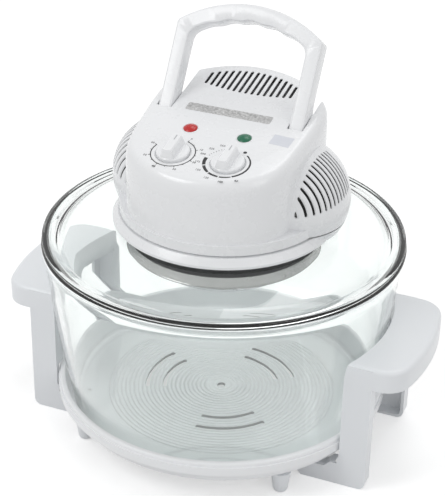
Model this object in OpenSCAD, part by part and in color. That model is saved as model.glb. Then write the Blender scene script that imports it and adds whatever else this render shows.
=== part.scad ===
// Halogen oven: a glass bowl on a dish with two bracket handles, and a motor head on a round glass lid.
// Millimetres. The origin is on the table under the middle of the bowl, and the control panel faces -Y.

/* [Base dish] */
// Height of the dish's floor above the table
foot_h = 22; // [20:0.5:26]
// Thickness of the dish's floor and walls
dish_t = 3; // [2.5:0.25:4]
// Gap between the bowl's wall and the dish around it
dish_gap = 3; // [2:0.25:4]
// Height of the dish's rim above its floor
dish_depth = 23.5; // [20:0.5:26]
// Outward lean of the dish's inner wall
dish_draft = 3.5; // [2:0.5:5]
// Width of the rounded rim
rim_w = 5.5; // [5:0.25:8]
// Height of the skirt that hangs from the rim
skirt_h = 12; // [9:0.5:15]
// Step from the rim out to the skirt
skirt_step = 1.5; // [1:0.25:2.5]
// Height of the fine rings that the bowl stands on
ridge_h = 0.4; // [0.3:0.1:0.8]
// Distance from one fine ring to the next
ridge_pitch = 4; // [3:0.5:8]
// Radius of the ringed area
ridged_r = 108; // [95:1:112]
// Radius of the inner arc slots
slot_in_r = 54; // [50:1:58]
// Radius of the outer arc slots
slot_out_r = 71; // [66:1:76]
// Width of an arc slot
slot_w = 4.5; // [3:0.5:6]
// Angle that an arc slot covers
slot_span = 50; // [30:2:60]
// Radius of the hole in the middle of the dish
dish_hole_r = 4; // [2:0.5:6]

/* [Feet] */
// Radius of a foot on the table
foot_r = 7; // [5:0.5:8]
// Radius of a foot under the dish
foot_top_r = 9.5; // [9:0.5:10]
// Radius of the circle that the feet stand on
foot_circle_r = 136.4; // [134:0.2:137]
// Angle of the feet from the X axis
foot_angle = 44.3; // [43.5:0.1:46]

/* [Bracket handles] */
// Outer radius of a wing
wing_r = 202; // [196:1:210]
// Height of the wing's top face above the table
wing_top_z = 130; // [124:1:138]
// Height of the wing's rim
wing_h = 21; // [16:1:26]
// Half length of a wing along Y
wing_half = 67.5; // [66.5:0.5:75]
// Radius of the wing's outer corners
wing_corner_r = 24; // [16:1:30]
// Rounding of the wing's top edge
wing_edge = 4.5; // [3:0.25:6]
// Thickness of the wing and leg walls
wing_t = 3; // [2.5:0.5:4]
// Gap between a bracket and the bowl
bracket_gap = 2; // [1:0.5:3]
// Reach of the legs' outer face beyond the top of the bowl's wall
leg_reach = 4; // [1:0.5:8]
// Width of a leg
leg_w = 25.5; // [22:0.5:28]
// Depth of a leg
leg_d = 14; // [12:0.5:18]
// Front face of a leg from the middle
leg_face = 67.3; // [66:0.1:68]
// Height of the foot bar under the dish
bar_h = 16.5; // [14:0.5:18]
// Inner end of the foot bar from the middle
bar_in = 103; // [100:0.5:108]
// Slope cut in the corner between leg and bar
gusset = 13.5; // [8:0.5:16]

/* [Bowl] */
// Height of the bowl
bowl_h = 167; // [150:1:185]
// Radius of the bowl's wall at its foot
bowl_base_r = 141.5; // [139:0.5:142.5]
// Radius of the bowl's wall under its lip
bowl_top_r = 163.3; // [161:0.1:163.5]
// Outward bulge of the wall half way up
bowl_bulge = 1.8; // [0:0.2:3]
// Reach of the lip beyond the top of the wall
lip_out = 2.2; // [1.8:0.1:4]
// Height of the lip
lip_h = 6; // [5:0.5:8]
// Thickness of the bowl's glass
bowl_t = 5.2; // [4:0.2:6]
// Radius of the corner at the bowl's foot
bowl_corner_r = 6.5; // [5:0.5:9]

/* [Lid glass] */
// Thickness of the lid's rim
lid_rim_t = 5.6; // [5:0.2:7]
// Setback of the lid's rim from the bowl's lip
lid_back = 0.8; // [0.3:0.1:2]
// Width of the lid's thick rim
lid_rim_w = 8.5; // [7.5:0.25:9.5]
// Depth that the lid's inner ring drops into the bowl
lid_drop = 3; // [2:0.5:4]
// Rise of the lid's glass from the rim to the middle
lid_rise = 11.7; // [9:0.1:14]
// Thickness of the lid's sheet
lid_t = 4; // [3:0.25:5]
// Radius of the hole in the lid
lid_hole_r = 84; // [83:0.5:85]
// Radius of the flat seat around the hole
lid_seat_r = 98; // [97.5:0.5:104]

/* [Seals and lamp pan] */
// Thickness of the seal on top of the glass
seal_t = 2.8; // [2:0.1:4]
// Inner radius of the upper seal
seal_in_r = 86; // [85.5:0.25:88]
// Outer radius of the upper seal
seal_out_r = 97; // [94:0.25:97]
// Height of the black seal under the glass
clamp_seal_h = 8.9; // [7:0.1:11]
// Outer radius of the seal under the glass
clamp_seal_r = 89.6; // [88.5:0.1:91]
// Outer radius of the polished lamp pan
pan_r = 87.5; // [86.5:0.1:88]
// Height of the lamp pan
pan_h = 11.8; // [10:0.2:16]
// Thickness of the pan's sheet
pan_t = 1.2; // [0.8:0.1:1.5]
// Radius of the wire of the guard's rings
guard_wire_r = 1.5; // [1.3:0.1:1.6]
// Radius of the wire of the guard's spokes
spoke_wire_r = 1; // [0.7:0.1:1.1]
// Radius of the guard's outer ring
guard_r = 80; // [76:0.5:82]
// Depth of the guard below the pan's edge
guard_drop = 13; // [12:0.5:18]
// Number of spokes of the guard
guard_spokes = 12; // [6:1:16]
// Radius of the lamp's ring
lamp_ring_r = 62; // [60:0.5:65]
// Radius of the lamp's tube
lamp_tube_r = 5; // [4:0.25:5.5]

/* [Lower housing] */
// Outer radius of the flange
flange_r = 100.6; // [100:0.2:104]
// Height of the flange
flange_h = 9.1; // [8:0.1:11]
// Inward slope of the flange's side
flange_slope = 3.6; // [2:0.2:5]
// Groove between flange and cover
seam_gap = 1.6; // [1:0.1:2.4]
// Thickness of the mouldings
shell_t = 2.5; // [2:0.1:3]
// Clearance between parts that slip into each other
fit_gap = 0.3; // [0.2:0.05:0.4]

/* [Head cover] */
// Radius of the head's wall at front and back
head_r = 92.5; // [92:0.25:94]
// Height of the panel's middle above the cover's lower edge
cover_h = 82.7; // [80:0.5:88]
// Tilt of the panel
panel_tilt = 11.1; // [9:0.1:13]
// Distance of the side walls from the middle
side_dist = 79.5; // [79:0.1:80.5]
// Angle by which the sides spread towards the back
side_lean = 4; // [3:0.1:4.5]
// Inward reach of the rounding on the top edge
edge_in = 8; // [6:0.5:9]
// Drop of the rounding on the top edge
edge_drop = 14; // [11:0.5:15]
// Radius of the band at the cover's foot
band_r = 94.5; // [94.5:0.1:96]
// Height of the band
band_h = 9; // [7:0.5:10]
// Radius of a cheek
cheek_r = 53.5; // [52.5:0.5:55]
// Cheek centre from the middle plane
cheek_x = 58; // [56:0.5:59]
// Cheek centre behind the middle
cheek_y = 12; // [9:0.5:14]
// Cheek centre above the cover's lower edge
cheek_z = 17; // [15:0.5:19]

/* [Vents] */
// Number of slots in the back of the top
top_slots = 15; // [9:2:15]
// Distance between the slots in the top
top_slot_pitch = 5.8; // [5.6:0.1:6]
// Width of a slot in the top
top_slot_w = 2.8; // [2:0.1:3.2]
// Radius at which the top slots end
top_slot_r = 77; // [72:0.5:79]
// Front of the middle slot
top_slot_y = 44.5; // [42:0.5:50]
// Number of slots in a cheek
cheek_slots = 13; // [8:1:13]
// Distance between the slots in a cheek
cheek_slot_pitch = 4.6; // [4.4:0.1:4.7]
// Width of a slot in a cheek
cheek_slot_w = 2.2; // [1.6:0.1:2.6]
// Place of the front slot of a cheek
cheek_slot_y = -36; // [-37:0.5:-34]

/* [Controls] */
// Knobs from the middle plane
knob_x = 25.2; // [22:0.1:28]
// Knobs in front of the middle
knob_y = 57; // [54:0.5:58]
// Radius of a knob
knob_r = 14.5; // [13:0.25:15.5]
// Height of a knob
knob_h = 11.5; // [10:0.5:14]
// Width of a knob's grip bar
grip_w = 9.5; // [7:0.5:11]
// Gap around a knob in its recess
knob_gap = 1.2; // [0.8:0.1:1.6]
// Depth of the knob's recess
recess_d = 1.2; // [0.8:0.1:1.4]
// Radius of a knob's spindle
spindle_r = 3; // [2.5:0.1:3.5]
// Running clearance of spindles, pins and shaft
run_gap = 0.05; // [0.02:0.01:0.09]
// Lenses in front of the middle
lens_y = 20; // [16:0.5:24]
// Radius of a lens
lens_r = 6.2; // [5:0.1:7]

/* [Carry handle] */
// Half width over the handle's legs
bail_half = 68.3; // [67:0.1:68.5]
// Width of a leg of the handle
bail_leg_w = 13.1; // [11:0.1:14]
// Depth of the handle
bail_d = 19; // [16:0.5:20]
// Height of the handle's shoulders above its pivot
bail_shoulder = 95; // [92:0.5:98]
// Height of the handle's crown above its pivot
bail_crown = 118; // [114:0.5:122]
// Thickness of the grip
grip_t = 14.4; // [12:0.2:16]
// Depth of the finger waves
wave_d = 1.2; // [0:0.1:2]
// Pivot behind the middle
pivot_y = 5; // [3:0.5:8]
// Pivot below the panel
pivot_drop = 19.5; // [18:0.5:22]
// Backward lean of the raised handle
bail_lean = 32.5; // [30:0.5:36]
// Angle that the handle folds back
bail_fold = 45.8; // [40:0.1:46.5]
// Radius of the pivot pins
pin_r = 3; // [2.5:0.1:3.5]
// Side clearance of the handle's legs in their channels
channel_gap = 0.8; // [0.5:0.1:1]
// Travel of the safety switch's plunger
plunger_travel = 2; // [1:0.1:2.4]

/* [Fan drive] */
// Radius of the motor shaft
shaft_r = 3; // [2.5:0.1:3.5]
// Radius of the cooling fan
cool_fan_r = 37; // [30:0.5:38]
// Radius of the convection fan
heat_fan_r = 46; // [36:0.5:48]
// Number of blades of the convection fan
heat_blades = 8; // [5:1:12]
// Number of blades of the cooling fan
cool_blades = 7; // [5:1:9]
// Height of the motor's laminations
stator_h = 18; // [14:0.5:20]
// Half width of the motor's laminations
stator_half = 30; // [28:0.5:32]
// Radius of the rotor
rotor_r = 12.7; // [10:0.1:13]

/* [Hidden] */
$fn = 96;

white_plastic = [0.92, 0.93, 0.94];
black_rubber = [0.07, 0.07, 0.07];
steel = [0.75, 0.76, 0.78];
zinc = [0.62, 0.63, 0.65];
glass = [0.8, 0.9, 0.88, 0.4];

// Heights of the stand and the bowl
floor_z = foot_h + dish_t;
rim_z = floor_z + dish_depth;
seat_r = bowl_base_r + dish_gap;
seat_top_r = seat_r + dish_draft;
rim_r = seat_top_r + rim_w;
skirt_r = rim_r + skirt_step;
bowl_z = floor_z + ridge_h;
wall_z = bowl_z + 4.6;
lip_z = bowl_z + bowl_h;
wall_top_z = lip_z - lip_h - 2.4;

leg_out = bowl_top_r + leg_reach;
lip_r = bowl_top_r + lip_out;
lid_r = lip_r - lid_back;

// Heights of the lid and the head
lid_top_z = lip_z + lid_rim_t;
sheet_z = lid_top_z - 1.2;
glass_z = sheet_z + lid_rise;
under_glass_z = glass_z - lid_t;
pan_z = under_glass_z - clamp_seal_h;
pan_low_z = pan_z - pan_h;
flange_z = glass_z + seal_t;
floor_top_z = flange_z + shell_t;
flange_top_z = flange_z + flange_h;
cover_z = flange_top_z + seam_gap;
band_top_z = cover_z + band_h;
panel_mid_z = cover_z + cover_h;
slope = tan(panel_tilt);
cheek_mid_z = cover_z + cheek_z;
bail_in = bail_half - bail_leg_w;
pivot_z = panel_mid_z + pivot_y * slope - pivot_drop;
boss_proud = 0.6;
boss_side = 0.25;
boss_r = bail_d / 2 + boss_proud;
cam_lift = 0.15;
pocket_r = boss_r + cam_lift + plunger_travel + 0.8;

// Screw sizes
screw_r = 1.9;
screw_hole_r = 1.95;
screw_head_r = 3.6;
screw_head_h = 2;

// Places of the repeated fixings
cover_screw_r = 77.5;
post_r = 4.5;
cover_screw_angles = [38, 142, 218, 322];
pan_screw_r = 70;
pan_screw_angles = [0, 90, 180, 270];
guard_screw_angles = [45, 165, 285];
guard_screw_r = 74;
slot_angles = [180, 60, -60];

// Points of an arc round (cx, cy)
function arc(cx, cy, r, a0, a1, n) =
    [for (i = [0:n]) let (a = a0 + (a1 - a0) * i / n) [cx + r * cos(a), cy + r * sin(a)]];

// Height of the panel's plane at y
function panel_z(y) = panel_mid_z + slope * y;

// Radius of the bowl's outer wall at height z
function bowl_r(z) = let (t = (z - wall_z) / (wall_top_z - wall_z))
    bowl_base_r + (bowl_top_r - bowl_base_r) * t + 4 * bowl_bulge * t * (1 - t);

// Reach of the head's plan outline at angle a, drawn in by inset
corner_power = 16;
function head_reach(a, inset) =
    let (turned = a + (cos(a) >= 0 ? side_lean : -side_lean))
    pow(pow(1 / (head_r - inset), corner_power)
        + pow(abs(cos(turned)) / (side_dist - inset), corner_power), -1 / corner_power);

module at_angles(angles, r, z = 0) {
    for (a = angles) rotate([0, 0, a]) translate([r, 0, z]) children();
}

module on_panel(x, y) {
    translate([x, y, panel_z(y)]) rotate([panel_tilt, 0, 0]) children();
}

module mirrored() {
    children();
    mirror([1, 0, 0]) children();
}

module tube(r_out, r_in, h) {
    difference() {
        cylinder(r = r_out, h = h);
        translate([0, 0, -1]) cylinder(r = r_in, h = h + 2);
    }
}

// Screw with its head's seat at the origin, its shank upwards
module screw(length) {
    cylinder(r = screw_r, h = length);
    translate([0, 0, -screw_head_h]) cylinder(r1 = screw_head_r - 0.8, r2 = screw_head_r, h = screw_head_h);
}

// Base dish: a recessed pan with a rounded rim, a skirt, fine rings and arc slots
dish_fillet = 5;
module dish_profile() {
    t = dish_t;
    fr = dish_fillet;
    polygon(concat(
        [[0, foot_h], [seat_r - fr, foot_h]],
        arc(seat_r - fr, floor_z + fr, fr + t, -90, 0, 6),
        [[seat_top_r + t - 1, rim_z - t - 2], [seat_top_r + t, rim_z - t]],
        [[skirt_r - t, rim_z - t - 1], [skirt_r - t, rim_z - skirt_h]],
        [[skirt_r, rim_z - skirt_h], [skirt_r, rim_z - skirt_h / 3], [rim_r, rim_z - skirt_h / 3]],
        arc(rim_r - 2, rim_z - 2, 2, 0, 90, 5),
        arc(seat_top_r + 2, rim_z - 2, 2, 90, 180, 5),
        arc(seat_r - fr, floor_z + fr, fr, 0, -90, 6),
        [[0, floor_z]]));
}

module arc_slot(r) {
    rotate([0, 0, -slot_span / 2])
        rotate_extrude(angle = slot_span)
            translate([r - slot_w / 2, foot_h - 1]) square([slot_w, dish_t + ridge_h + 2]);
    for (s = [-1, 1])
        rotate([0, 0, s * slot_span / 2])
            translate([r, 0, foot_h - 1]) cylinder(d = slot_w, h = dish_t + ridge_h + 2);
}

module base_dish() {
    ridge_w = ridge_pitch * 0.45;
    color(white_plastic)
        difference() {
            union() {
                rotate_extrude() dish_profile();
                for (r = [ridge_pitch * 4 : ridge_pitch : ridged_r])
                    translate([0, 0, floor_z - 0.5]) tube(r + ridge_w / 2, r - ridge_w / 2, 0.5 + ridge_h);
            }
            for (a = slot_angles, r = [slot_in_r, slot_out_r]) rotate([0, 0, a]) arc_slot(r);
            translate([0, 0, foot_h - 1]) cylinder(r = dish_hole_r, h = dish_t + 2);
            bar_screw_places() translate([0, 0, foot_h - 1]) cylinder(r = screw_hole_r, h = dish_t + 2);
        }
}

// Feet: four round pegs that taper to a rounded end
module base_feet() {
    round_r = 4;
    color(white_plastic)
        for (a = [foot_angle, 180 - foot_angle, 180 + foot_angle, -foot_angle])
            rotate([0, 0, a])
                translate([foot_circle_r, 0, 0])
                    rotate_extrude()
                        polygon(concat(
                            [[0, 0]],
                            arc(foot_r - round_r, round_r, round_r, -90, 0, 5),
                            [[foot_top_r, foot_h], [0, foot_h]]));
}

// Brackets: a dished wing on two L-shaped legs whose bars reach under the dish
bar_screw_x = bar_in + 9;
module bar_screw_places() {
    for (sx = [-1, 1], sy = [-1, 1])
        translate([sx * bar_screw_x, sy * (leg_face - leg_d / 2), 0]) children();
}

function leg_outline(i) = concat(
    [[bar_in + i + 4, i]],
    arc(leg_out - 7, 7, 7 - i, -90, 0, 6),
    [[leg_out - i, wing_top_z - wing_t / 2], [leg_out - leg_w + i, wing_top_z - wing_t / 2]],
    [[leg_out - leg_w + i, bar_h + gusset - i * 0.4], [leg_out - leg_w - gusset + i * 0.4, bar_h - i]],
    [[bar_in + i, bar_h - i], [bar_in + i, i + 4]]);

module leg() {
    translate([0, -leg_face + leg_d, 0])
        rotate([90, 0, 0])
            difference() {
                linear_extrude(leg_d) polygon(leg_outline(0));
                translate([0, 0, -1]) linear_extrude(leg_d - wing_t + 1) polygon(leg_outline(wing_t));
            }
}

// Outline of the wing seen from above, drawn in by i
module wing_plan(i) {
    intersection() {
        circle(r = wing_r - i, $fn = 180);
        translate([0, -wing_half + i]) square([wing_r + 10, 2 * (wing_half - i)]);
        union() {
            circle(r = wing_r - wing_corner_r, $fn = 180);
            translate([0, -wing_half + wing_corner_r]) square([wing_r + 10, 2 * (wing_half - wing_corner_r)]);
            for (s = [-1, 1])
                translate([sqrt(pow(wing_r - wing_corner_r, 2) - pow(wing_half - wing_corner_r, 2)),
                    s * (wing_half - wing_corner_r)])
                    circle(r = wing_corner_r - i);
        }
    }
}

module bowl_space(gap) {
    steps = 8;
    rotate_extrude()
        polygon(concat(
            [[0, rim_z]],
            [for (k = [0:steps]) let (z = rim_z + (wall_top_z - rim_z) * k / steps) [bowl_r(z) + gap, z]],
            [[0, wall_top_z]]));
}

// Wing: the same outline lofted to a rounded top edge, hollow below, with a wall along the bowl
function wing_ring(i, z) =
    let (mid_r = wing_r - wing_corner_r, cy = wing_half - wing_corner_r,
        phi = asin(cy / mid_r), cx = mid_r * cos(phi), cr = wing_corner_r - i,
        plan = concat([[bar_in, -wing_half + i]], arc(cx, -cy, cr, -90, -phi, 7),
            [for (k = [1:13]) let (a = phi * (k / 7 - 1)) (wing_r - i) * [cos(a), sin(a)]],
            arc(cx, cy, cr, phi, 90, 7), [[bar_in, wing_half - i]]))
    [for (p = plan) [p[0], p[1], z]];

module wing_loft() {
    turns = 5;
    rings = concat(
        [wing_ring(0, wing_top_z - wing_h)],
        [for (k = [0:turns]) let (a = 90 * k / turns)
            wing_ring(wing_edge * (1 - cos(a)), wing_top_z - wing_edge * (1 - sin(a)))]);
    n = len(rings[0]);
    count = len(rings);
    polyhedron(
        points = [for (ring = rings) each ring],
        faces = concat(
            [[for (i = [0:n - 1]) i]],
            [for (k = [0:count - 2], i = [0:n - 1]) let (j = (i + 1) % n, a = k * n, b = (k + 1) * n)
                [a + j, a + i, b + i, b + j]],
            [[for (i = [n - 1:-1:0]) (count - 1) * n + i]]));
}

module wing() {
    wall_r = bowl_r(wing_top_z) + bracket_gap;
    difference() {
        wing_loft();
        difference() {
            translate([0, 0, wing_top_z - wing_h - 1]) linear_extrude(wing_h + 1 - wing_t) wing_plan(wing_t);
            cylinder(r = wall_r + wing_t, h = wing_top_z);
        }
        translate([0, 0, wing_top_z - wing_h - 1]) cylinder(r = wall_r - 2, h = wing_h + 1 - wing_t);
        cylinder(r = leg_out - leg_w - 12, h = wing_top_z + 1);
    }
}

module bracket() {
    color(white_plastic)
        difference() {
            union() {
                wing();
                leg();
                mirror([0, 1, 0]) leg();
                for (s = [-1, 1])
                    translate([bar_screw_x, s * (leg_face - leg_d / 2), 0]) cylinder(r = 5, h = foot_h);
            }
            bowl_space(bracket_gap);
            translate([0, 0, foot_h]) cylinder(r = skirt_r + 0.6, h = rim_z - foot_h + 1);
            for (s = [-1, 1])
                translate([bar_screw_x, s * (leg_face - leg_d / 2), -1]) {
                    cylinder(r = screw_hole_r, h = foot_h + 2);
                    cylinder(r = screw_head_r + 0.4, h = bar_h - 3);
                }
        }
}

module right_bracket() {
    bracket();
}

module left_bracket() {
    mirror([1, 0, 0]) bracket();
}

module bracket_screws() {
    color(zinc)
        bar_screw_places() translate([0, 0, bar_h - 4]) screw(foot_h + dish_t - bar_h + 3.5);
}

// Bowl: thick glass with a rounded foot, a flared wall and a rounded lip
module bowl() {
    steps = 12;
    corner = bowl_corner_r;
    floor_r = bowl_r(bowl_z + corner) - corner;
    inner_corner = corner - 1;
    inner_floor_r = bowl_r(bowl_z + bowl_t + inner_corner) - bowl_t - inner_corner;
    outer = [for (k = [0:steps]) let (z = wall_z + 2 + (wall_top_z - wall_z - 2) * k / steps) [bowl_r(z), z]];
    inner = [for (k = [steps:-1:0])
        let (z = wall_z + 7 + (lip_z - 2 - wall_z - 7) * k / steps) [bowl_r(min(z, wall_top_z)) - bowl_t, z]];
    color(glass)
        rotate_extrude()
            polygon(concat(
                [[0, bowl_z]],
                arc(floor_r, bowl_z + corner, corner, -90, -10, 5),
                outer,
                arc(lip_r - 2.5, wall_top_z + 4.4, 2.5, -60, 0, 3),
                arc(lip_r - 2.5, lip_z - 2.5, 2.5, 0, 90, 5),
                arc(bowl_top_r - bowl_t + 2, lip_z - 2, 2, 90, 180, 4),
                inner,
                arc(inner_floor_r, bowl_z + bowl_t + inner_corner, inner_corner, -10, -90, 5),
                [[0, bowl_z + bowl_t]]));
}

// Lid glass: a thick rim with a ring that drops into the bowl, and a low dome round a hole
function sheet_top(r) = sheet_z + lid_rise * (pow(drop_r, 2) - pow(r, 2)) / (pow(drop_r, 2) - pow(lid_seat_r, 2));
lid_rim_in_r = lid_r - lid_rim_w;
drop_out_r = bowl_top_r - bowl_t - 0.8;
drop_r = drop_out_r - 4.5;

module lid_glass() {
    steps = 8;
    half = lid_rim_t / 2;
    dome = [for (k = [0:steps]) let (r = drop_r + (lid_seat_r - drop_r) * k / steps) r];
    color(glass)
        rotate_extrude()
            polygon(concat(
                [[drop_out_r, lip_z - lid_drop], [drop_out_r, lip_z]],
                arc(lid_r - half, lip_z + half, half, -90, 90, 10),
                [[lid_rim_in_r, lid_top_z]],
                [for (r = dome) [r, sheet_top(r)]],
                [[lid_hole_r, glass_z], [lid_hole_r, under_glass_z], [lid_seat_r, under_glass_z]],
                [for (k = [steps - 1:-1:1]) [dome[k], sheet_top(dome[k]) - lid_t]],
                [[drop_r, lip_z - lid_drop]]));
}

module upper_seal() {
    color(black_rubber)
        translate([0, 0, glass_z]) tube(seal_out_r, seal_in_r, seal_t);
}

module clamp_seal() {
    color(black_rubber)
        rotate_extrude()
            polygon([[pan_r - 7, pan_z], [pan_r, pan_z], [clamp_seal_r, pan_z + 2],
                [clamp_seal_r, under_glass_z], [pan_r - 7, under_glass_z]]);
}

// Lamp pan: a shallow inverted pan of polished sheet with a rolled edge
pan_hole_r = 9;
module lamp_pan() {
    color(steel)
        difference() {
            rotate_extrude()
                polygon(concat(
                    [[pan_hole_r, pan_z - pan_t], [pan_r - pan_t, pan_z - pan_t]],
                    [[pan_r - pan_t, pan_low_z + 2]],
                    arc(pan_r - pan_t - 0.2, pan_low_z + 1, 1, 90, 270, 5),
                    arc(pan_r - 0.4, pan_low_z + 1, 1, -90, 60, 5),
                    [[pan_r, pan_low_z + 2.4], [pan_r, pan_z], [pan_hole_r, pan_z]]));
            at_angles(pan_screw_angles, pan_screw_r, pan_z - 5) cylinder(r = screw_hole_r, h = 10);
            at_angles(guard_screw_angles, guard_screw_r, pan_z - 5) cylinder(r = screw_hole_r, h = 10);
        }
}

shield_t = 1;
shield_z = flange_z - 8;
module heat_shield() {
    color(steel)
        difference() {
            translate([0, 0, shield_z - shield_t]) cylinder(r = lid_hole_r - 6, h = shield_t);
            translate([0, 0, shield_z - 5]) cylinder(r = pan_hole_r, h = 10);
            at_angles(pan_screw_angles, pan_screw_r, shield_z - 5) cylinder(r = screw_hole_r, h = 10);
        }
}

module pan_spacers() {
    color(zinc)
        at_angles(pan_screw_angles, pan_screw_r, pan_z) tube(5, screw_hole_r, shield_z - shield_t - pan_z);
}

module pan_screws() {
    color(zinc)
        at_angles(pan_screw_angles, pan_screw_r, pan_z - pan_t) screw(flange_z - pan_z + pan_t + 1);
}

// Wire guard: welded rings on bent spokes, hung from three eyes
module wire(a, b) {
    d = b - a;
    translate(a)
        rotate([0, acos(d[2] / norm(d)), atan2(d[1], d[0])]) cylinder(r = spoke_wire_r, h = norm(d), $fn = 24);
}

module wire_ring(r, z) {
    translate([0, 0, z]) rotate_extrude() translate([r, 0]) circle(r = guard_wire_r, $fn = 24);
}

module wire_guard() {
    top = pan_low_z + 1.5;
    low = pan_low_z - guard_drop;
    eye_z = pan_z - pan_t;
    color(steel)
        difference() {
            union() {
                wire_ring(guard_r, top);
                for (r = [14, 32, 50, 66]) wire_ring(r, low);
                for (k = [0:guard_spokes - 1])
                    rotate([0, 0, k * 360 / guard_spokes]) {
                        wire([14, 0, low], [66, 0, low]);
                        wire([66, 0, low], [guard_r, 0, top]);
                    }
                at_angles(guard_screw_angles, 0) {
                    wire([guard_r, 0, top], [guard_r, 0, eye_z - 1]);
                    translate([guard_screw_r, 0, eye_z - 1.5]) cylinder(r = 5, h = 1.5);
                    translate([guard_screw_r, -2, eye_z - 1.5]) cube([guard_r - guard_screw_r, 4, 1.5]);
                }
            }
            at_angles(guard_screw_angles, guard_screw_r, pan_z - 10) cylinder(r = screw_hole_r, h = 20);
        }
}

module guard_screws() {
    color(zinc)
        at_angles(guard_screw_angles, guard_screw_r, pan_z - pan_t - 1.5) screw(6);
}

// Lamp: a ring of quartz tube with its filament, held by two ceramic blocks
lamp_z = pan_low_z - 4;
lamp_gap_angle = 36;
holder_angle = 9;
module halogen_lamp() {
    color([0.95, 0.95, 0.9, 0.5])
        translate([0, 0, lamp_z])
            rotate([0, 0, 90 + lamp_gap_angle / 2])
                rotate_extrude(angle = 360 - lamp_gap_angle)
                    translate([lamp_ring_r, 0])
                        difference() {
                            circle(r = lamp_tube_r, $fn = 48);
                            circle(r = lamp_tube_r - 1, $fn = 48);
                        }
}

module lamp_filament() {
    color(zinc)
        translate([0, 0, lamp_z])
            rotate([0, 0, 90 + lamp_gap_angle / 2])
                rotate_extrude(angle = 360 - lamp_gap_angle)
                    translate([lamp_ring_r, 0]) circle(r = 0.8, $fn = 24);
}

module lamp_holders() {
    h = pan_z - pan_t - lamp_z;
    color([0.9, 0.88, 0.82])
        for (s = [-1, 1])
            rotate([0, 0, 90 + s * lamp_gap_angle / 2])
                translate([lamp_ring_r - lamp_tube_r - 1, s > 0 ? -10 : 0, lamp_z - lamp_tube_r - 1])
                    cube([2 * lamp_tube_r + 2, 10, h + lamp_tube_r + 1]);
}

// Lower housing: the white flange, its floor with posts and bosses, and the spigot in the cover
spigot_r = band_r - shell_t - fit_gap;
post_x = 25;
post_top_z = floor_top_z + 14;
module housing_profile() {
    polygon(concat(
        [[pan_hole_r + 2, flange_z], [flange_r - 1, flange_z], [flange_r, flange_z + 1]],
        [[flange_r, flange_z + 3]],
        [[flange_r - flange_slope, flange_top_z - 1.2], [flange_r - flange_slope - 1.2, flange_top_z]],
        [[spigot_r, flange_top_z], [spigot_r, cover_z + band_h - shell_t - 0.6]],
        [[spigot_r - 2, cover_z + band_h - shell_t - 0.6], [spigot_r - 2, floor_top_z]],
        [[pan_hole_r + 2, floor_top_z]]));
}

module lower_housing() {
    color(white_plastic)
        difference() {
            union() {
                rotate_extrude() housing_profile();
                mirrored() cheek_foot();
                at_angles(pan_screw_angles, pan_screw_r, shield_z) cylinder(r = 7, h = floor_top_z - shield_z);
                at_angles(cover_screw_angles, cover_screw_r, flange_z) cylinder(r = post_r, h = cover_z - flange_z);
                for (s = [-1, 1])
                    translate([s * post_x, 0, flange_z]) cylinder(r = 5, h = post_top_z - flange_z);
            }
            at_angles(pan_screw_angles, pan_screw_r, shield_z - 1)
                cylinder(r = screw_hole_r, h = flange_z + 1.5 - shield_z + 1);
            at_angles(cover_screw_angles, cover_screw_r, flange_z - 1) cylinder(r = screw_hole_r, h = 20);
            for (s = [-1, 1])
                translate([s * post_x, 0, flange_z + 1]) cylinder(r = screw_hole_r, h = 30);
            at_angles([for (k = [0:11]) 15 + k * 30], 0)
                translate([42, -2, flange_z - 1]) cube([20, 4, shell_t + 2]);
        }
}

module cheek_ball(r) {
    translate([cheek_x, cheek_y, cheek_mid_z]) sphere(r = r);
}

module cheek_foot() {
    difference() {
        intersection() {
            cheek_ball(cheek_r);
            translate([0, -100, flange_z]) cube([200, 200, flange_h]);
        }
        translate([0, 0, flange_z - 1]) cylinder(r = spigot_r - 1, h = flange_h + 2);
    }
}

// Head cover: a lofted housing with a sloped panel, two vented cheeks and channels for the handle
loft_n = 96;

function loft_ring(inset, drop) =
    [for (i = [0:loft_n - 1])
        let (a = i * 360 / loft_n, r = head_reach(a, inset)) [r * cos(a), r * sin(a), panel_z(r * sin(a)) - drop]];

function flat_ring(inset, z) =
    [for (i = [0:loft_n - 1]) let (a = i * 360 / loft_n, r = head_reach(a, inset)) [r * cos(a), r * sin(a), z]];

module head_loft(inset, z) {
    turns = 6;
    rings = concat(
        [flat_ring(inset, z)],
        [for (k = [0:turns]) let (a = 90 * k / turns)
            loft_ring(inset + edge_in * (1 - cos(a)), inset + edge_drop * (1 - sin(a)))]);
    count = len(rings);
    polyhedron(
        points = [for (ring = rings) each ring],
        faces = concat(
            [[for (i = [0:loft_n - 1]) i]],
            [for (k = [0:count - 2], i = [0:loft_n - 1])
                let (j = (i + 1) % loft_n, a = k * loft_n, b = (k + 1) * loft_n) [a + j, a + i, b + i]],
            [for (k = [0:count - 2], i = [0:loft_n - 1])
                let (j = (i + 1) % loft_n, a = k * loft_n, b = (k + 1) * loft_n) [a + j, b + i, b + j]],
            [[for (i = [loft_n - 1:-1:0]) (count - 1) * loft_n + i]]));
}

module above(z) {
    intersection() {
        children();
        translate([-200, -200, z]) cube([400, 400, 200]);
    }
}

// Channel of a handle leg: the space between the raised and the folded leg, grown by a wall
channel_in = bail_in - channel_gap;
channel_out = bail_half + channel_gap;
module channel(wall) {
    reach = 130;
    half = boss_r + channel_gap + wall;
    up = 90 - bail_lean;
    low = up - bail_fold;
    raised = [cos(up), sin(up)];
    folded = [cos(low), sin(low)];
    front = half * [-sin(up), cos(up)];
    under = half * [sin(low), -cos(low)];
    translate([channel_in - wall, 0, 0])
        rotate([90, 0, 90])
            linear_extrude(channel_out - channel_in + 2 * wall)
                translate([pivot_y, pivot_z]) {
                    polygon([[0, 0], front, front + reach * raised, reach * (raised + folded),
                        under + reach * folded, under]);
                    circle(r = pocket_r + wall);
                }
}

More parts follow.
